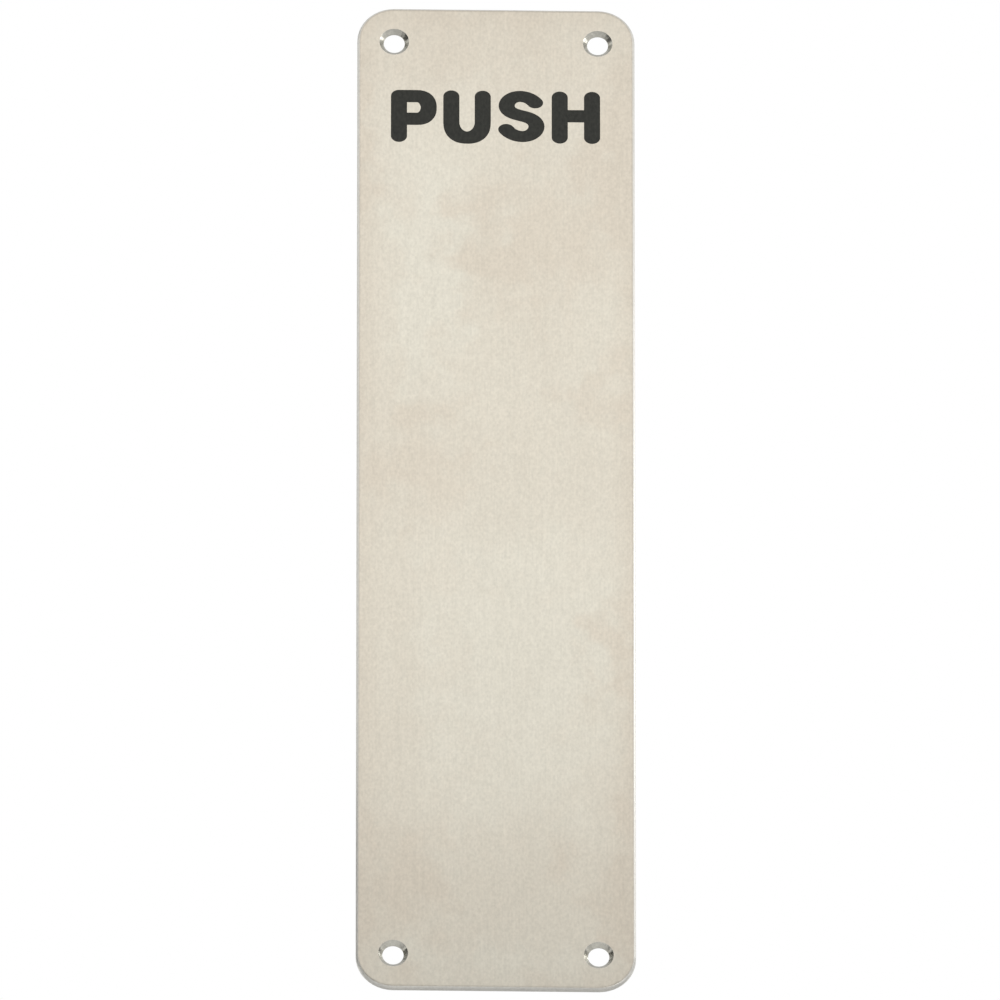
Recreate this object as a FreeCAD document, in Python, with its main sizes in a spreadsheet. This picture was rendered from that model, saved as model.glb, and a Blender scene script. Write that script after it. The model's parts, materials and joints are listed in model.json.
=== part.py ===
# Door finger plate: one flat sheet with round corners, an eased front rim and
# countersunk screw holes near the corners. Lengths are in millimetres, angles in degrees.
# The back lies on the door in the plane Y = 0, with the origin at its centre.
# X runs across the plate, Z runs up its length, and the front faces -Y.

import FreeCAD, Part
import math
import os

import Sketcher

SIZES = {
    "plate_length": 300.0,
    "plate_width": 75.0,
    "plate_thickness": 1.5,
    "corner_radius": 10.0,
    "front_edge_round": 1.0,
    "back_edge_break": 0.1,
    "screw_inset_side": 10.0,
    "screw_inset_end": 10.5,
    "screw_hole_diameter": 5.7,
    "countersink_diameter": 8.0,
    "countersink_angle": 90.0,
}

ORIGIN = -1
START = 1
END = 2
CENTRE = 3
SAME_PLACE = 1e-6
VOLUME_TOLERANCE = 0.01


def sheet_of_sizes(doc):
    """The driving sizes as a spreadsheet: a name in column A, its number in column B."""
    sheet = doc.addObject("Spreadsheet::Sheet", "sizes")
    for row, (name, number) in enumerate(SIZES.items(), start=1):
        sheet.set(f"A{row}", name)
        sheet.set(f"B{row}", str(number))
        sheet.setAlias(f"B{row}", name)
    doc.recompute()
    return sheet


def front_view_sketch(body, name):
    """A sketch that sees the plate from the front: its x is X, its y is Z, its normal is -Y."""
    planes = body.Origin.OriginFeatures
    upright_plane = next(plane for plane in planes if plane.Role == "XZ_Plane")
    sketch = body.newObject("Sketcher::SketchObject", name)
    sketch.AttachmentSupport = (upright_plane, [""])
    sketch.MapMode = "FlatFace"
    return sketch


def constrain(sketch, *terms):
    """Adds one constraint to a sketch."""
    return sketch.addConstraint(Sketcher.Constraint(*terms))


def drive(sketch, name, formula, *terms):
    """Adds a dimension to a sketch, names it and binds it to a formula of the sheet."""
    sketch.renameConstraint(constrain(sketch, *terms), name)
    sketch.setExpression(f"Constraints.{name}", formula)


def outline_sketch(body, sheet):
    """The plate's outline: a rectangle about the origin whose corners are quarter circles."""
    sketch = front_view_sketch(body, "plate_outline")
    side = sheet.plate_width / 2
    end = sheet.plate_length / 2
    radius = sheet.corner_radius
    normal = FreeCAD.Vector(0, 0, 1)

    def point(x, y):
        return FreeCAD.Vector(x, y, 0)

    def corner(x, y, start_quarter):
        circle = Part.Circle(point(x, y), normal, radius)
        start = start_quarter * math.pi / 2
        return Part.ArcOfCircle(circle, start, start + math.pi / 2)

    across = side - radius
    along = end - radius
    bottom = sketch.addGeometry(Part.LineSegment(point(-across, -end), point(across, -end)))
    bottom_right = sketch.addGeometry(corner(across, -along, 3))
    right = sketch.addGeometry(Part.LineSegment(point(side, -along), point(side, along)))
    top_right = sketch.addGeometry(corner(across, along, 0))
    top = sketch.addGeometry(Part.LineSegment(point(across, end), point(-across, end)))
    top_left = sketch.addGeometry(corner(-across, along, 1))
    left = sketch.addGeometry(Part.LineSegment(point(-side, along), point(-side, -along)))
    bottom_left = sketch.addGeometry(corner(-across, -along, 2))

    loop = [bottom, bottom_right, right, top_right, top, top_left, left, bottom_left]
    for piece, following in zip(loop, loop[1:] + loop[:1]):
        constrain(sketch, "Tangent", piece, END, following, START)
    for line in (bottom, top):
        constrain(sketch, "Horizontal", line)
    for line in (right, left):
        constrain(sketch, "Vertical", line)
    for arc in (top_right, top_left, bottom_left):
        constrain(sketch, "Equal", bottom_right, arc)
    constrain(sketch, "Symmetric", bottom_left, CENTRE, top_right, CENTRE, ORIGIN, START)
    drive(sketch, "radius", "sizes.corner_radius", "Radius", bottom_right, radius)
    drive(sketch, "width", "sizes.plate_width",
          "DistanceX", left, START, right, END, sheet.plate_width)
    drive(sketch, "length", "sizes.plate_length",
          "DistanceY", bottom, START, top, END, sheet.plate_length)
    return sketch


def screw_sketch(body, sheet):
    """One circle for each screw, on the front face, set in from the sides and the ends."""
    sketch = front_view_sketch(body, "screw_places")
    sketch.setExpression(".AttachmentOffset.Base.z", "sizes.plate_thickness")
    across = sheet.plate_width / 2 - sheet.screw_inset_side
    along = sheet.plate_length / 2 - sheet.screw_inset_end
    radius = sheet.screw_hole_diameter / 2
    normal = FreeCAD.Vector(0, 0, 1)
    corners = {
        "bottom_left": (-1, -1),
        "bottom_right": (1, -1),
        "top_left": (-1, 1),
        "top_right": (1, 1),
    }
    for name, (to_the_right, upwards) in corners.items():
        place = FreeCAD.Vector(to_the_right * across, upwards * along, 0)
        circle = sketch.addGeometry(Part.Circle(place, normal, radius))
        drive(sketch, f"{name}_diameter", "sizes.screw_hole_diameter",
              "Diameter", circle, 2 * radius)
        drive(sketch, f"{name}_across",
              f"{to_the_right} * (sizes.plate_width / 2 - sizes.screw_inset_side)",
              "DistanceX", ORIGIN, START, circle, CENTRE, to_the_right * across)
        drive(sketch, f"{name}_along",
              f"{upwards} * (sizes.plate_length / 2 - sizes.screw_inset_end)",
              "DistanceY", ORIGIN, START, circle, CENTRE, upwards * along)
    return sketch, len(corners)


def rim_edges(shape, depth):
    """The names of the outline's edges in the plane Y = depth: its closed edges are hole rims."""
    return [
        f"Edge{number}"
        for number, edge in enumerate(shape.Edges, start=1)
        if not edge.isClosed()
        and all(abs(vertex.Point.y - depth) < SAME_PLACE for vertex in edge.Vertexes)
    ]


def countersunk_hole_volume(sheet):
    """What one hole takes away: a cone from the front face down to the bore, then the bore.

    Where the plate is thinner than the cone is deep, the cone stops at the back face.
    """
    bore = sheet.screw_hole_diameter / 2
    mouth = sheet.countersink_diameter / 2
    slope = math.tan(math.radians(sheet.countersink_angle) / 2)
    cone = min((mouth - bore) / slope, sheet.plate_thickness)
    throat = mouth - cone * slope
    straight = sheet.plate_thickness - cone
    cone_volume = math.pi * cone * (mouth**2 + mouth * throat + throat**2) / 3
    return cone_volume + math.pi * throat**2 * straight


def finger_plate(doc, sheet):
    """The plate: padded outline, countersunk screw holes, eased front rim, broken back edge."""
    body = doc.addObject("PartDesign::Body", "finger_plate")
    body.Label = "finger_plate"

    blank = body.newObject("PartDesign::Pad", "sheet_blank")
    blank.Profile = outline_sketch(body, sheet)
    blank.setExpression("Length", "sizes.plate_thickness")
    doc.recompute()

    places, screw_count = screw_sketch(body, sheet)
    doc.recompute()
    holes = body.newObject("PartDesign::Hole", "screw_holes")
    holes.Profile = places
    holes.Threaded = False
    holes.DepthType = "ThroughAll"
    holes.HoleCutType = "Countersink"
    holes.setExpression("Diameter", "sizes.screw_hole_diameter")
    holes.setExpression("HoleCutDiameter", "sizes.countersink_diameter")
    holes.setExpression("HoleCutCountersinkAngle", "sizes.countersink_angle")
    doc.recompute()
    removed = blank.Shape.Volume - holes.Shape.Volume
    expected = screw_count * countersunk_hole_volume(sheet)
    if abs(removed - expected) > VOLUME_TOLERANCE * expected:
        raise RuntimeError(f"the screw holes took {removed:.2f} mm3, not {expected:.2f} mm3")

    rim = body.newObject("PartDesign::Fillet", "eased_front_rim")
    rim.Base = (holes, rim_edges(holes.Shape, -sheet.plate_thickness))
    rim.setExpression(
        "Radius",
        "min(sizes.front_edge_round; sizes.plate_thickness - 2 * sizes.back_edge_break)",
    )
    doc.recompute()

    back = body.newObject("PartDesign::Chamfer", "broken_back_edge")
    back.Base = (rim, rim_edges(rim.Shape, 0.0))
    back.setExpression("Size", "sizes.back_edge_break")
    body.Tip = back
    doc.recompute()
    return body


def check(doc, subparts):
    """Stops if any object failed or a sub-part isn't one valid solid."""
    for item in doc.Objects:
        if "Invalid" in item.State or "Error" in item.State:
            raise RuntimeError(f"{item.Name} failed: {item.State}")
    for subpart in subparts:
        shape = subpart.Shape
        if shape.isNull() or not shape.isValid() or len(shape.Solids) != 1:
            raise RuntimeError(f"{subpart.Label} isn't one valid solid")


def main():
    doc = FreeCAD.newDocument("door_finger_plate")
    sheet = sheet_of_sizes(doc)
    subparts = [finger_plate(doc, sheet)]
    check(doc, subparts)
    os.makedirs("parts", exist_ok=True)
    for subpart in subparts:
        subpart.Shape.exportStep(f"parts/{subpart.Label}.step")
        box = subpart.Shape.optimalBoundingBox()
        print(f"{subpart.Label}: {box.XLength:.2f} x {box.YLength:.2f} x {box.ZLength:.2f} mm,"
              f" {subpart.Shape.Volume:.1f} mm3, {len(subpart.Shape.Faces)} faces")


main()
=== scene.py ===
# %% [markdown]
# # A door finger plate in satin steel
#
# A finger plate is a flat sheet of steel that guards a door where hands push it. The solid
# plate is already finished: its outline, its eased rim and its countersunk holes come from the
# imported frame, and Blender leaves them as they are. What this lesson adds is everything the eye
# meets first: the brushed finish, the printed sign, the light and the camera.

# %% Load the solid plate
import json
import math

import bpy
import numpy as np
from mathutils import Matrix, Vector
from mathutils.geometry import tessellate_polygon

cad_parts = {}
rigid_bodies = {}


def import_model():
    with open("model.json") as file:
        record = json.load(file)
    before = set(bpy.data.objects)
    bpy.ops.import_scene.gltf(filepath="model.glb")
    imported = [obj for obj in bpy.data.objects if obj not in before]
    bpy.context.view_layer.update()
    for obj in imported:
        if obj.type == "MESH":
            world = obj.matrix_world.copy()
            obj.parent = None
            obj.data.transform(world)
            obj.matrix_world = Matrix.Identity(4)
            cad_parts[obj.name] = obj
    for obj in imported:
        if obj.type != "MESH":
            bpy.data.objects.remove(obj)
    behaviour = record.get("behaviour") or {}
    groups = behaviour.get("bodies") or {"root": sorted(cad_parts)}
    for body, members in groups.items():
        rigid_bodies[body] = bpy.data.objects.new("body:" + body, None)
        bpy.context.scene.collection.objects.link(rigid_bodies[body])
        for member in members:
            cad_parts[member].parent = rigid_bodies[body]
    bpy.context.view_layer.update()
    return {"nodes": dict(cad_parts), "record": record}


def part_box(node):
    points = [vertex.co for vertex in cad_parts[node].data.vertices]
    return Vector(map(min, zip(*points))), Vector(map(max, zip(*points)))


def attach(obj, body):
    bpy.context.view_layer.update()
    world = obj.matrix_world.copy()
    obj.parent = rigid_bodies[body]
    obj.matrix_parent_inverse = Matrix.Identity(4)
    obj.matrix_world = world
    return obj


for leftover in list(bpy.data.objects):
    bpy.data.objects.remove(leftover)

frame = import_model()

MM = 0.001
plate = frame["nodes"]["finger_plate"]
low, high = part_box("finger_plate")
front = low.y
half_width = high.x
top = high.z
print(f"plate {1000 * (high.x - low.x):.1f} x {1000 * (high.z - low.z):.1f} mm,"
      f" {1000 * (high.y - low.y):.2f} mm thick")

# %% [markdown]
# ## The camera
#
# The photograph shows the plate about an eighth shorter than it is, as if it were seen from below,
# and its edges stay nearly parallel. A camera close by would make them converge. A very long lens far
# away keeps them parallel, so the distance is worked out from how much of the plate the frame takes in.

# %% Camera
VIEW_AZIMUTH = math.radians(-1.26)
VIEW_ELEVATION = math.radians(-28.56)
LENS = 1500.0
SENSOR = 36.0
FRAME_SIDE = 268.9 * MM
PLATE_RIGHT_OF_CENTRE = -1.1 * MM
PLATE_ABOVE_CENTRE = 0.8 * MM

backwards = Vector((
    math.sin(VIEW_AZIMUTH) * math.cos(VIEW_ELEVATION),
    -math.cos(VIEW_AZIMUTH) * math.cos(VIEW_ELEVATION),
    math.sin(VIEW_ELEVATION),
))
turn_to_plate = (-backwards).to_track_quat("-Z", "Y")
to_the_right = turn_to_plate @ Vector((1, 0, 0))
upwards = turn_to_plate @ Vector((0, 1, 0))
distance = FRAME_SIDE * LENS / SENSOR
aim = (low + high) / 2 - to_the_right * PLATE_RIGHT_OF_CENTRE - upwards * PLATE_ABOVE_CENTRE

camera = bpy.data.objects.new("camera", bpy.data.cameras.new("camera"))
bpy.context.collection.objects.link(camera)
camera.data.lens = LENS
camera.data.sensor_width = SENSOR
camera.data.clip_end = 4 * distance
camera.rotation_mode = "QUATERNION"
camera.rotation_quaternion = turn_to_plate
camera.location = aim + backwards * distance
bpy.context.scene.camera = camera
bpy.context.scene.view_settings.view_transform = "Standard"
print(f"camera {distance:.2f} m away, {math.degrees(VIEW_ELEVATION):.1f} degrees from level")

# %% [markdown]
# ## Node helpers
#
# A procedural finish is a small graph of nodes. Two helpers keep the graphs readable: one adds
# a node and fills its inputs with numbers or links, the other makes soft blobs of a given size in
# millimetres along each axis. Blobs that are long in one axis and thin in the others are streaks,
# and that is all that a brushed grain needs.

# %% Node helpers
def add_node(tree, kind, inputs=(), **settings):
    """Adds a node, sets its properties, and gives each named input a value or a link."""
    node = tree.nodes.new(kind)
    for name, value in settings.items():
        setattr(node, name, value)
    for name, value in dict(inputs).items():
        if isinstance(value, bpy.types.NodeSocket):
            tree.links.new(value, node.inputs[name])
        else:
            node.inputs[name].default_value = value
    return node


def calculate(tree, operation, *terms):
    """One arithmetic step on numbers or links."""
    return add_node(tree, "ShaderNodeMath", dict(enumerate(terms)), operation=operation).outputs[0]


def ramp(tree, value, start, end, low_value, high_value):
    """Runs smoothly from low_value at start to high_value at end, and stays level outside."""
    return add_node(tree, "ShaderNodeMapRange", {
        "Value": value, "From Min": start, "From Max": end,
        "To Min": low_value, "To Max": high_value,
    }, interpolation_type="SMOOTHSTEP").outputs[0]


def blobs(tree, place, size_mm, detail=2.0, offset=(0.0, 0.0, 0.0)):
    """Noise whose blobs are about size_mm long on each axis: the place is divided by the size."""
    stretched = add_node(tree, "ShaderNodeMapping", {
        "Vector": place, "Location": offset, "Scale": [1 / (size * MM) for size in size_mm],
    })
    return add_node(tree, "ShaderNodeTexNoise", {
        "Vector": stretched.outputs[0], "Scale": 1.0, "Detail": detail,
    }).outputs[0]


def new_material(name):
    """An empty material with one Principled shader, as (material, node tree, shader)."""
    material = bpy.data.materials.new(name)
    material.use_nodes = True
    tree = material.node_tree
    return material, tree, tree.nodes["Principled BSDF"]

# %% [markdown]
# ## Colours, worn patches and a painted highlight
#
# Steel looks white, but against white paper it is a pale, warm grey. Hands and cloths have left
# their marks on it too: a few broad patches are slightly warmer or paler than the rest. One of them, a
# paler band along the bottom edge, is no wear but a painted highlight. Each patch is a soft ellipse,
# placed in millimetres from the plate's centre. A slow noise shifts the place before it is measured,
# which makes the outlines wander, because a perfect ellipse would look painted on.

# %% Colours, worn patches and a painted highlight
PALE_STEEL = (0.562, 0.533, 0.458, 1.0)
WARM_STEEL = (0.528, 0.479, 0.402, 1.0)
RIM_STEEL = (0.665, 0.650, 0.605, 1.0)
TURNED_STEEL = (0.570, 0.555, 0.495, 1.0)
# Each patch: across, up, half width, half height in millimetres, and how much warmer it is.
WEAR_AND_HIGHLIGHT_PATCHES = (
    (-17, 65, 15, 48, -0.50),
    (8, 76, 30, 28, 0.55),
    (-20, 10, 18, 22, 0.45),
    (31, 31, 14, 20, 0.45),
    (33, -47, 12, 20, 0.50),
    (6, -55, 34, 70, -0.42),
    (-25, -120, 20, 26, 0.50),
    (33, -116, 14, 20, 0.45),
    (-6, 140, 48, 26, 0.40),
    (32, 102, 18, 48, 0.60),
    (-37, 108, 10, 36, 0.40),
    # A painted highlight, not wear: this paler band runs along the bottom edge.
    (0, -152, 60, 16, -0.35),
    (36, -136, 9, 11, 0.55),
)
PATCH_WANDER = 60 * MM
PATCH_FRAY = 12 * MM
PATCH_CORE = 0.2


def wear_and_highlight_warmth(tree, place):
    """How much warmer the sheet is at a place: the sum of all patches, each times its own amount.

    A patch is 1 in its core, and falls smoothly to 0 where (x / half width)**2 + (z / half height)**2 is 1.
    """
    wander = add_node(tree, "ShaderNodeTexNoise", {
        "Vector": place, "Scale": 1 / PATCH_FRAY, "Detail": 4.0,
    }).outputs["Color"]
    shift = add_node(tree, "ShaderNodeVectorMath", {
        0: wander, 1: [PATCH_WANDER] * 3, 2: [-PATCH_WANDER / 2] * 3,
    }, operation="MULTIPLY_ADD").outputs[0]
    shifted = add_node(tree, "ShaderNodeVectorMath", {0: place, 1: shift}).outputs[0]
    warmth = 0.0
    for x, z, half_wide, half_high, amount in WEAR_AND_HIGHLIGHT_PATCHES:
        centred = add_node(tree, "ShaderNodeVectorMath", {
            0: shifted, 1: (x * MM, 0.0, z * MM),
        }, operation="SUBTRACT").outputs[0]
        scaled = add_node(tree, "ShaderNodeVectorMath", {
            0: centred, 1: (1 / (half_wide * MM), 0.0, 1 / (half_high * MM)),
        }, operation="MULTIPLY").outputs[0]
        distance_out = add_node(tree, "ShaderNodeVectorMath", {0: scaled}, operation="LENGTH")
        patch = ramp(tree, distance_out.outputs["Value"], 1.0, PATCH_CORE, 0.0, 1.0)
        warmth = calculate(tree, "MULTIPLY_ADD", patch, amount, warmth)
    return warmth


print(f"{len(WEAR_AND_HIGHLIGHT_PATCHES)} worn patches")

# %% [markdown]
# ## Where the border, the rim and the holes are
#
# The sheet is duller along its edges. Its rim was eased by another pass, across the grain, so it is
# greyer, and the countersinks were turned. One material can do all of this if it knows where it is. The
# distance from the edges gives the dull border, the surface's own direction gives the rim, and the distance
# from the nearest screw gives the holes. All four corners are alike, so the signs of X and Z are dropped.

# %% Border, rim and holes
DULL_BORDER = 9 * MM
DULL_ENDS = 0.8
FLAT_ENOUGH = 0.99
WELL_ROUND = 0.85
COUNTERSINK_RADIUS = 4.0 * MM
COUNTERSINK_BLUR = 0.02

screw_mount = next(m for m in frame["record"]["mounts"] if m["name"] == "screw_holes")
screw_across = screw_mount["dims"]["spacing_x_mm"] / 2 * MM
screw_along = screw_mount["dims"]["spacing_y_mm"] / 2 * MM


def dull_border(tree, across, along):
    """1 at the long sides and a little less at the ends, falling to 0 one border further in."""
    side = ramp(tree, across, half_width - DULL_BORDER, half_width, 0.0, 1.0)
    end = ramp(tree, along, top - DULL_BORDER, top, 0.0, DULL_ENDS)
    return calculate(tree, "MAXIMUM", side, end)


def eased_rim(tree, normal):
    """0 where the surface faces straight forwards or backwards, 1 where it has turned away."""
    facing = add_node(tree, "ShaderNodeSeparateXYZ", {0: normal})
    squareness = calculate(tree, "ABSOLUTE", facing.outputs["Y"])
    return ramp(tree, squareness, FLAT_ENOUGH, WELL_ROUND, 0.0, 1.0)


def screw_distance(tree, across, along):
    """The length of the step from the screw's centre: the root of dx**2 + dz**2."""
    step = add_node(tree, "ShaderNodeCombineXYZ", {
        "X": calculate(tree, "SUBTRACT", across, screw_across),
        "Z": calculate(tree, "SUBTRACT", along, screw_along),
    }).outputs[0]
    return add_node(tree, "ShaderNodeVectorMath", {0: step}, operation="LENGTH").outputs["Value"]


def turned_hole(tree, radius):
    """1 inside the countersink's mouth and 0 outside it, with a narrow blur between."""
    outer = COUNTERSINK_RADIUS * (1 + COUNTERSINK_BLUR)
    inner = COUNTERSINK_RADIUS * (1 - COUNTERSINK_BLUR)
    return ramp(tree, radius, outer, inner, 0.0, 1.0)


print(f"screws {1000 * screw_across:.1f} mm across and {1000 * screw_along:.1f} mm along from the centre")

# %% [markdown]
# ## Satin steel
#
# The sheet is brushed along its length, so it carries scratches a fifth of a millimetre wide and
# some tens of millimetres long. Up close the scratches break up into a fine satin speckle and hairs, and
# a step away they gather into faint streaks and mottling. All of these change the tone a little. The
# scratches also change the roughness and raise the bump, and in the holes rings take their place.
#
# A noise lies about one half, so half of the weights is taken off at the start, and the mean tone stays.
# Brushed steel also spreads its highlights across the grain, and the shader's anisotropy does that.

# %% Satin steel
# Each layer of grain: its size across, deep and along in millimetres, its detail and its offset.
GRAIN = {
    "scratches": ((0.22, 0.22, 26.0), 3.0, (0.0, 0.0, 0.0)),
    "speckle": ((0.62, 0.62, 0.90), 2.0, (0.0, 0.0, 0.0)),
    "hairs": ((0.5, 0.5, 14.0), 1.0, (1.0, 0.0, 4.0)),
    "mottling": ((1.7, 1.7, 4.5), 2.0, (0.0, 0.0, 0.0)),
    "streaks": ((1.6, 1.6, 90.0), 2.0, (7.0, 0.0, 3.0)),
    "clouds": ((26.0, 26.0, 48.0), 1.5, (2.3, 0.0, 5.1)),
}
GRAIN_TONE = {"scratches": 0.07, "streaks": 0.05, "hairs": 0.08, "speckle": 0.30, "mottling": 0.08}
BORDER_TONE = {"border": -0.010}
WARMTH = {"clouds": 0.7, "mottling": 0.4, "border": 0.40}
COOLER = 0.15
SATIN_ROUGHNESS = 0.26
ROUGHER = {"scratches": 0.14, "clouds": 0.06, "rim": 0.06, "turned": -0.19}
RING_SIZE = (0.09, 1.0, 1.0)
RING_DEPTH = 0.3
SCRATCH_DEPTH = 0.012 * MM
SCRATCH_STRENGTH = 0.35
ACROSS_THE_GRAIN = 0.7


def blend(tree, share, first, second):
    """The first colour where the share is 0, and the second where it is 1."""
    return add_node(tree, "ShaderNodeMix", {
        "Factor": share, "A": first, "B": second,
    }, data_type="RGBA").outputs["Result"]


def weighted_sum(tree, start, weights, marks):
    """The start plus each mark times its weight."""
    total = start
    for name, weight in weights.items():
        total = calculate(tree, "MULTIPLY_ADD", marks[name], weight, total)
    return total


def satin_steel():
    """Brushed sheet, eased rim and turned holes in one material."""
    steel, tree, shader = new_material("satin_steel")
    where = add_node(tree, "ShaderNodeTexCoord")
    place = where.outputs["Object"]
    axes = add_node(tree, "ShaderNodeSeparateXYZ", {0: place})
    across = calculate(tree, "ABSOLUTE", axes.outputs["X"])
    along = calculate(tree, "ABSOLUTE", axes.outputs["Z"])
    radius = screw_distance(tree, across, along)
    marks = {name: blobs(tree, place, *layer) for name, layer in GRAIN.items()}
    marks["border"] = dull_border(tree, across, along)
    marks["rim"] = eased_rim(tree, where.outputs["Normal"])
    marks["turned"] = turned_hole(tree, radius)

    # The patches carry wear, and one painted highlight along the bottom edge.
    wear_and_highlight = calculate(tree, "SUBTRACT", wear_and_highlight_warmth(tree, place), COOLER)
    colour = blend(tree, weighted_sum(tree, wear_and_highlight, WARMTH, marks), PALE_STEEL, WARM_STEEL)
    colour = blend(tree, marks["rim"], colour, RIM_STEEL)
    colour = blend(tree, marks["turned"], colour, TURNED_STEEL)
    mean_tone = 1 - sum(GRAIN_TONE.values()) / 2
    tone = weighted_sum(tree, mean_tone, GRAIN_TONE | BORDER_TONE, marks)
    toned = add_node(tree, "ShaderNodeVectorMath", {0: colour, "Scale": tone}, operation="SCALE")
    roughness = weighted_sum(tree, SATIN_ROUGHNESS, ROUGHER, marks)

    ring_place = add_node(tree, "ShaderNodeCombineXYZ", {"X": radius}).outputs[0]
    rings = calculate(tree, "MULTIPLY", blobs(tree, ring_place, RING_SIZE, detail=1.0), RING_DEPTH)
    relief = add_node(tree, "ShaderNodeMix", {
        "Factor": marks["turned"], "A": marks["scratches"], "B": rings,
    })
    bump = add_node(tree, "ShaderNodeBump", {
        "Strength": SCRATCH_STRENGTH, "Distance": SCRATCH_DEPTH, "Height": relief.outputs["Result"],
    })

    tree.links.new(toned.outputs[0], shader.inputs["Base Color"])
    tree.links.new(roughness, shader.inputs["Roughness"])
    tree.links.new(bump.outputs[0], shader.inputs["Normal"])
    shader.inputs["Metallic"].default_value = 1.0
    shader.inputs["Anisotropic"].default_value = ACROSS_THE_GRAIN
    return steel


plate.data.materials.clear()
plate.data.materials.append(satin_steel())
print(f"satin steel on {plate.name}: {len(plate.data.materials[0].node_tree.nodes)} nodes")

# %% [markdown]
# ## A pen for plain capitals
#
# The sign is printed in thick rounded capitals. A font would do, but a plain sign can be drawn
# from first principles: carry a wide pen along a line and keep the edge of what it covers. The pen
# here is an ellipse, a little wider than it is high, so upright strokes come out heavier than level
# ones. The point of an ellipse that faces a given direction has a simple formula, and it serves
# twice: for the pen, and for any bend that the pen follows. One more number makes a bend squarer.

# %% The pen
PEN = np.array([2.18, 1.90]) * MM
CAPITAL_TOP = top - 25.4 * MM
CAPITAL_BOTTOM = top - 41.5 * MM
CAPITAL_MIDDLE = top - 33.0 * MM
ROUND = 2.0
SQUARISH = 1.7
ROUND_STEPS = 24


def directions(start, end, count=ROUND_STEPS):
    """Unit directions that turn evenly from one angle to another, in degrees."""
    angles = np.radians(np.linspace(start, end, count))
    return np.stack([np.cos(angles), np.sin(angles)], axis=1)


def oval_edge(half_axes, facing, power=ROUND):
    """The point of an oval whose edge faces each direction.

    For half axes (a, b), a direction (p, q) and a power m, the oval reaches to the m-th root of
    (a*p)**m + (b*q)**m, and the point is the slope of that in p and q. A power of 2 gives an
    ellipse, and less gives a squarer oval.
    """
    terms = np.abs(half_axes * facing)
    reach = np.sum(terms**power, axis=1, keepdims=True) ** (1 / power)
    return np.sign(facing) * half_axes * (terms / reach) ** (power - 1)


def pen_end(x, z, start, end, pen=PEN):
    """The pen's own edge at a point, from one direction to another: a round stroke end."""
    return np.array([x, z]) + oval_edge(pen, directions(start, end))


def bend(x, z, half_axes, start, end, side):
    """One edge of a stroke that follows an oval: the oval's edge plus or minus the pen's.

    The outer edge, with side 1, is squarish, and the inner one, with side -1, is round.
    """
    facing = directions(start, end)
    power = SQUARISH if side > 0 else ROUND
    return np.array([x, z]) + oval_edge(half_axes, facing, power) + side * oval_edge(PEN, facing)


print(f"pen {2000 * PEN[0]:.2f} x {2000 * PEN[1]:.2f} mm,"
      f" capitals {1000 * (CAPITAL_TOP - CAPITAL_BOTTOM):.1f} mm high")

# %% [markdown]
# ## Four letters as outlines
#
# Each letter is a list of closed outlines in the plate's X and Z, anticlockwise round the ink
# and clockwise round a hole in it. Straight sides need no points of their own, because they run
# between the last point of one round stretch and the first of the next.
#
# The S is the one letter with no straight side. Its middle line is a figure of eight left open at
# both ends: a sine goes across twice while another goes up once, and a little of the third harmonic
# makes the bends fuller. Its lower half swells a little, and its pen is flatter, so that the two
# notches stay open.

# %% Letter outlines
def letter_p(left, right):
    """A stem and a bowl: the bowl is half an oval, joined to the stem by two level strokes."""
    stem = left + PEN[0]
    upper = CAPITAL_TOP - PEN[1]
    bowl_height = 7.0 * MM
    bowl_depth = 3.15 * MM
    lower = upper - bowl_height
    bowl = np.array([bowl_depth, bowl_height / 2])
    bowl_x = right - PEN[0] - bowl[0]
    bowl_z = (upper + lower) / 2
    outside = np.concatenate([
        pen_end(stem, CAPITAL_BOTTOM + PEN[1], 180, 360),
        [[stem + PEN[0], lower - PEN[1]]],
        bend(bowl_x, bowl_z, bowl, -90, 90, 1),
        pen_end(stem, upper, 90, 180),
    ])
    inside = np.concatenate([
        [[stem + PEN[0], lower + PEN[1]], [stem + PEN[0], upper - PEN[1]]],
        bend(bowl_x, bowl_z, bowl, 90, -90, -1),
    ])
    return [outside, inside]


def letter_u(left, right):
    """Two stems joined by half an oval, which reaches a little below the line."""
    overshoot = 0.35 * MM
    bowl_depth = 4.75 * MM
    stems = np.array([left, right]) + np.array([1, -1]) * PEN[0]
    bowl = np.array([(stems[1] - stems[0]) / 2, bowl_depth])
    bowl_x = (left + right) / 2
    bowl_z = CAPITAL_BOTTOM - overshoot + PEN[1] + bowl[1]
    stem_top = CAPITAL_TOP - PEN[1]
    return [np.concatenate([
        bend(bowl_x, bowl_z, bowl, 180, 360, 1),
        pen_end(stems[1], stem_top, 0, 180),
        bend(bowl_x, bowl_z, bowl, 360, 180, -1),
        pen_end(stems[0], stem_top, 0, 180),
    ])]


def letter_s(middle):
    """An open figure of eight: x goes as -sin(2t), z as sin(t), each with some of sin(3t)."""
    flatter_pen = (1.0, 0.9)
    half_wide = 4.22 * MM
    half_high = 5.16 * MM
    fuller_across = 0.30 * MM
    fuller_up = 1.04 * MM
    bottom_heavy = 0.04
    reach = math.radians(123)
    pen = PEN * flatter_pen
    t = np.linspace(-reach, reach, 4 * ROUND_STEPS)
    across = fuller_across * np.sin(3 * t) - half_wide * np.sin(2 * t)
    up = half_high * np.sin(t) - fuller_up * np.sin(3 * t)
    swell = 1 - bottom_heavy * np.sin(t)
    line = np.array([middle, CAPITAL_MIDDLE]) + np.stack([across * swell, up * swell], axis=1)
    slope = np.gradient(line, t, axis=0)
    heading = np.unwrap(np.arctan2(slope[:, 1], slope[:, 0]))
    right_hand = oval_edge(pen, np.stack([np.sin(heading), -np.cos(heading)], axis=1))
    first, last = np.degrees(heading[[0, -1]])
    return [np.concatenate([
        line + right_hand,
        pen_end(*line[-1], last - 90, last + 90, pen)[1:-1],
        (line - right_hand)[::-1],
        pen_end(*line[0], first + 90, first + 270, pen)[1:-1],
    ])]


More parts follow.
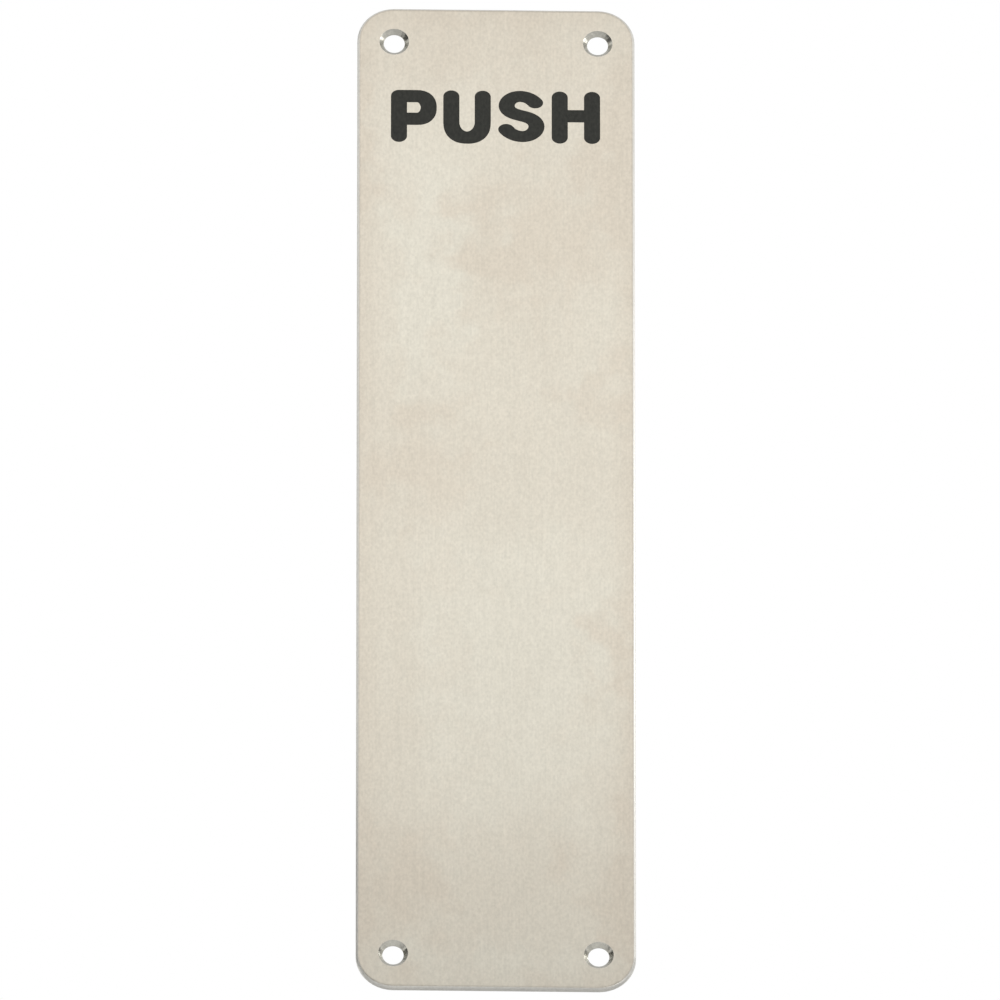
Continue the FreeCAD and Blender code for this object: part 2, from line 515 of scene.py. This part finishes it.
def letter_h(left, right):
    """Two stems with a level bar between them, which meets them in square corners."""
    first = left + PEN[0]
    second = right - PEN[0]
    upper = CAPITAL_TOP - PEN[1]
    lower = CAPITAL_BOTTOM + PEN[1]
    bar_top = CAPITAL_MIDDLE + PEN[1]
    bar_bottom = CAPITAL_MIDDLE - PEN[1]
    return [np.concatenate([
        pen_end(first, lower, 180, 360),
        [[first + PEN[0], bar_bottom], [second - PEN[0], bar_bottom]],
        pen_end(second, lower, 180, 360),
        pen_end(second, upper, 0, 180),
        [[second - PEN[0], bar_top], [first + PEN[0], bar_top]],
        pen_end(first, upper, 0, 180),
    ])]


letters = {
    "letter_p": letter_p(-28.4 * MM, -16.0 * MM),
    "letter_u": letter_u(-14.25 * MM, -1.4 * MM),
    "letter_s": letter_s(6.8 * MM),
    "letter_h": letter_h(15.05 * MM, 28.15 * MM),
}
for name, loops in letters.items():
    print(f"{name}: {sum(len(loop) for loop in loops)} outline points in {len(loops)} loops")

# %% [markdown]
# ## From outline to a film of ink
#
# Printed ink is a film a few hundredths of a millimetre thick, with a soft shoulder where it
# wets the steel. That is a profile carried along a path: the path is the letter's outline, and the
# profile rises from the steel in a quarter circle while it moves inwards. What is left inside the last
# ring is flat, and it is filled with triangles. The foot lies a little under the steel's surface, so
# the film is a closed solid with no gap beneath it.

# %% Film of ink
FILM = 0.05 * MM
SHOULDER = 0.08 * MM
SUNK = 0.01 * MM
SHOULDER_STEPS = 5


def inward(loop):
    """The mitred inward normal at each point: the left-hand normals of both sides, made unit apart."""
    along = np.roll(loop, -1, axis=0) - loop
    along /= np.linalg.norm(along, axis=1, keepdims=True)
    after = np.stack([-along[:, 1], along[:, 0]], axis=1)
    before = np.roll(after, 1, axis=0)
    return (before + after) / (1 + np.sum(before * after, axis=1, keepdims=True))


def film_rings(loop):
    """Rows of the profile carried round one outline, as an array of (rows, points, 3).

    From the foot up, the profile moves in by SHOULDER * (1 - cos t) while it rises to FILM * sin t,
    for t from 0 to a quarter turn. One more row lies under the steel.
    """
    rise = np.linspace(0, math.pi / 2, SHOULDER_STEPS)
    inset = np.concatenate([[0.0], SHOULDER * (1 - np.cos(rise))])
    height = np.concatenate([[-SUNK], FILM * np.sin(rise)])
    flat = loop[None] + inset[:, None, None] * inward(loop)[None]
    depth = np.broadcast_to((front - height)[:, None], flat.shape[:2])
    return np.stack([flat[..., 0], depth, flat[..., 1]], axis=-1)


def anticlockwise(points, triangles):
    """Turns round every triangle that runs clockwise in X and Z."""
    a, b, c = (points[triangles[:, k]][:, [0, 2]] for k in range(3))
    area = (b - a)[:, 0] * (c - a)[:, 1] - (b - a)[:, 1] * (c - a)[:, 0]
    return np.where((area < 0)[:, None], triangles[:, ::-1], triangles)


def film_mesh(name, loops):
    """A closed film: side quads between the rings, and flat triangles on the face and the foot."""
    rings = [film_rings(loop) for loop in loops]
    rows = len(rings[0])
    counts = [len(loop) for loop in loops]
    starts = np.cumsum([0] + [rows * count for count in counts])
    points = np.concatenate([ring.reshape(-1, 3) for ring in rings])
    sides = []
    for start, count in zip(starts, counts):
        row, step = np.meshgrid(np.arange(rows - 1), np.arange(count), indexing="ij")
        onward = (step + 1) % count
        here = start + row * count
        quad = [here + step, here + onward, here + count + onward, here + count + step]
        sides.append(np.stack(quad, axis=-1).reshape(-1, 4))

    def flat_loops(row):
        return np.concatenate([s + row * n + np.arange(n) for s, n in zip(starts, counts)])

    filled = np.array(tessellate_polygon([[Vector((*p, 0.0)) for p in loop] for loop in loops]))
    face = anticlockwise(points, flat_loops(rows - 1)[filled])
    foot = anticlockwise(points, flat_loops(0)[filled])[:, ::-1]
    faces = [*np.concatenate(sides).tolist(), *face.tolist(), *foot.tolist()]
    mesh = bpy.data.meshes.new(name)
    mesh.from_pydata(points, [], faces)
    smooth = np.zeros(len(faces), dtype=bool)
    smooth[:sum(len(side) for side in sides)] = True
    mesh.polygons.foreach_set("use_smooth", smooth)
    mesh.update()
    return mesh


sign = []
for name, loops in letters.items():
    letter = bpy.data.objects.new(name, film_mesh(name, loops))
    bpy.context.collection.objects.link(letter)
    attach(letter, "root")
    sign.append(letter)
    print(f"{name}: {len(letter.data.polygons)} faces, {1000 * letter.dimensions.x:.2f} mm wide")

# %% [markdown]
# ## The ink
#
# The ink is a soft black, slightly warm, dull enough to read from every side. It takes over a
# hint of the grain underneath it, so its gloss changes a little from scratch to scratch, and it is
# never quite evenly black.

# %% Ink
INK_DARK = (0.001, 0.0014, 0.0, 1.0)
INK_LIGHT = (0.043, 0.0436, 0.034, 1.0)
INK_ROUGHNESS = 0.42
INK_GRAIN = 0.2
INK_GLOSS = 0.3
INK_PATCHES = (0.8, 0.8, 1.4)
INK_RELIEF = 0.008 * MM
INK_STRENGTH = 0.2


def sign_ink():
    """Matt black print with a trace of the steel's grain."""
    ink, tree, shader = new_material("sign_ink")
    place = add_node(tree, "ShaderNodeTexCoord").outputs["Object"]
    grain = blobs(tree, place, *GRAIN["scratches"])
    patches = blobs(tree, place, INK_PATCHES, detail=3.0)
    roughness = calculate(tree, "MULTIPLY_ADD", grain, INK_GRAIN, INK_ROUGHNESS)
    bump = add_node(tree, "ShaderNodeBump", {
        "Strength": INK_STRENGTH, "Distance": INK_RELIEF, "Height": grain,
    })
    tree.links.new(blend(tree, patches, INK_DARK, INK_LIGHT), shader.inputs["Base Color"])
    tree.links.new(roughness, shader.inputs["Roughness"])
    tree.links.new(bump.outputs[0], shader.inputs["Normal"])
    shader.inputs["Specular IOR Level"].default_value = INK_GLOSS
    return ink


ink = sign_ink()
for letter in sign:
    letter.data.materials.append(ink)
print(f"ink on {len(sign)} letters")

# %% [markdown]
# ## The studio
#
# Steel has little colour of its own: it shows what stands round it, so a white studio makes it
# bright. The floor is pale and lies well below the plate. The world is white to the camera and to
# reflections, and dimmer to matt surfaces, so that the background is white without more light.

# %% World and floor
FLOOR = -0.5
FLOOR_FRONT = -0.55
FLOOR_BACK = 4.0
FLOOR_SIDE = 4.0
FLOOR_GREY = (0.55, 0.55, 0.55, 1.0)
FLOOR_ROUGHNESS = 0.8
FLOOR_GLOW_SEEN = 0.55
FLOOR_GLOW_REFLECTED = 0.26
WHITE = (1.0, 1.0, 1.0, 1.0)
MATT_WORLD = 0.7
SEEN_WORLD = 1.0


def stage_sheet(name, corner, first, second):
    """A flat sheet: corner + u * first + v * second, with u and v both 0 or 1."""
    u = np.array([0, 1, 1, 0])[:, None]
    v = np.array([0, 0, 1, 1])[:, None]
    points = np.array(corner) + u * np.array(first) + v * np.array(second)
    mesh = bpy.data.meshes.new(name)
    mesh.from_pydata(points, [], [(0, 1, 2, 3)])
    sheet = bpy.data.objects.new(name, mesh)
    bpy.context.collection.objects.link(sheet)
    return sheet


def seen_directly(tree):
    """1 for rays from the camera, in reflections and through glass, and 0 for matt light."""
    path = add_node(tree, "ShaderNodeLightPath")
    seen = calculate(tree, "MAXIMUM", path.outputs["Is Camera Ray"], path.outputs["Is Glossy Ray"])
    return calculate(tree, "MAXIMUM", seen, path.outputs["Is Transmission Ray"])


def pale_floor():
    """A dull grey floor that glows to the camera, and less in reflections."""
    pale, tree, shader = new_material("pale_floor")
    shader.inputs["Base Color"].default_value = FLOOR_GREY
    shader.inputs["Roughness"].default_value = FLOOR_ROUGHNESS
    path = add_node(tree, "ShaderNodeLightPath")
    glow = calculate(tree, "MULTIPLY", path.outputs["Is Camera Ray"], FLOOR_GLOW_SEEN)
    glow = calculate(tree, "MULTIPLY_ADD", path.outputs["Is Glossy Ray"], FLOOR_GLOW_REFLECTED, glow)
    shader.inputs["Emission Color"].default_value = WHITE
    tree.links.new(glow, shader.inputs["Emission Strength"])
    return pale


world = bpy.data.worlds.new("white_studio")
bpy.context.scene.world = world
world.use_nodes = True
background = world.node_tree.nodes["Background"]
background.inputs["Color"].default_value = WHITE
level = calculate(
    world.node_tree, "MULTIPLY_ADD",
    seen_directly(world.node_tree), SEEN_WORLD - MATT_WORLD, MATT_WORLD,
)
world.node_tree.links.new(level, background.inputs["Strength"])

floor = stage_sheet(
    "floor", (-FLOOR_SIDE, FLOOR_FRONT, FLOOR),
    (2 * FLOOR_SIDE, 0, 0), (0, FLOOR_BACK - FLOOR_FRONT, 0),
)
floor.data.materials.append(pale_floor())
print(f"floor {FLOOR:.2f} m, world white to camera and reflections")

# %% [markdown]
# ## Lamps
#
# A large soft lamp high in front puts the sheen on the upper part of the sheet. A second one on
# the right finds the left walls of the upper countersinks and the right-hand rim. A wide, dim one low in
# front lights the walls that look down, and a small one low on the right puts a spark into the lower
# countersinks. All of them are weak, because most of the light comes from the white world.

# %% Lamps
# Each lamp: its place and its target, its width and height in metres, and its power in watts.
LAMPS = {
    "key_lamp": ((0.0, -0.308, 0.20), (0.0, 0.0, 0.05), 0.30, 0.27, 0.138),
    "right_lamp": ((0.5, 0.005, 0.215), (0.0, 0.005, 0.215), 0.21, 0.17, 0.37),
    "low_lamp": ((0.0, -0.11, -0.33), (0.0, 0.0, -0.14), 0.50, 0.10, 0.026),
    "sparkle_lamp": ((0.28, -0.43, -0.278), (0.0, 0.0, -0.14), 0.10, 0.08, 0.11),
}


def soft_lamp(name, place, target, width, height, watts):
    """A rectangular soft lamp at a place, turned to a target, hidden from the camera."""
    lamp = bpy.data.lights.new(name, "AREA")
    lamp.shape = "RECTANGLE"
    lamp.size = width
    lamp.size_y = height
    lamp.energy = watts
    holder = bpy.data.objects.new(name, lamp)
    bpy.context.collection.objects.link(holder)
    holder.location = place
    holder.rotation_euler = (Vector(target) - Vector(place)).to_track_quat("-Z", "Y").to_euler()
    holder.visible_camera = False


for name, facts in LAMPS.items():
    soft_lamp(name, *facts)
print(f"{len(LAMPS)} soft lamps")

# %% [markdown]
# ## Cards
#
# A turned wall that shows only white looks like paper, so dark cards stand on both sides and in
# front, out of the camera's sight, for the countersinks to show. They are no larger than they need to be,
# because the face shows them too when it is seen from the side. One pale card hangs above and behind the
# plate. It takes the glare off the upper rim and the lower walls of the holes, and it glows a little, as if
# lit from behind.

# %% Cards
BLACK_GREY = 0.02
PALE_GREY = 0.80
PALE_GLOW = 0.25
CARD_ROUGHNESS = 0.9


def card_finish(name, grey, glow=0.0):
    """A dull card of one grey, which may glow."""
    finish, _, shader = new_material(name)
    shader.inputs["Base Color"].default_value = (grey, grey, grey, 1.0)
    shader.inputs["Roughness"].default_value = CARD_ROUGHNESS
    shader.inputs["Emission Color"].default_value = WHITE
    shader.inputs["Emission Strength"].default_value = glow
    return finish


black = card_finish("black_card", BLACK_GREY)
pale = card_finish("pale_card", PALE_GREY, PALE_GLOW)
# Each card: one corner and the two sides that leave it, in metres, and its finish.
cards = {
    "left_card": ((-0.90, -0.55, FLOOR), (0, 0.21, 0), (0, 0, 0.86), black),
    "left_back_card": ((-0.90, -0.34, -0.10), (0, 0.35, 0), (0, 0, 0.47), black),
    "left_near_card": ((-0.12, -0.025, -0.125), (0, 0.047, 0), (0, 0, 0.082), black),
    "right_low_card": ((0.50, -0.11, -0.14), (0, 0.09, 0), (0, 0, 0.22), black),
    "front_left_card": ((-0.60, -0.70, -0.42), (0.36, 0, 0), (0, 0, 0.44), black),
    "front_right_card": ((0.25, -0.70, -0.15), (0.27, 0, 0), (0, 0, 0.17), black),
    "sparkle_card": ((0.10, -0.43, -0.32), (0.12, 0, 0), (0, 0, 0.08), black),
    "left_high_card": ((-0.70, 0.05, 0.55), (0, 0.27, 0), (0, 0, 0.65), black),
    "high_card": ((-0.60, 0.10, 0.80), (1.15, 0, 0), (0, 0.65, 0), pale),
}
for name, (corner, first, second, finish) in cards.items():
    card = stage_sheet(name, corner, first, second)
    card.data.materials.append(finish)
    card.visible_camera = False
print(f"{len(cards)} cards")

# %% [markdown]
# ## End of the scene

# %% End of the scene
print("scene built")
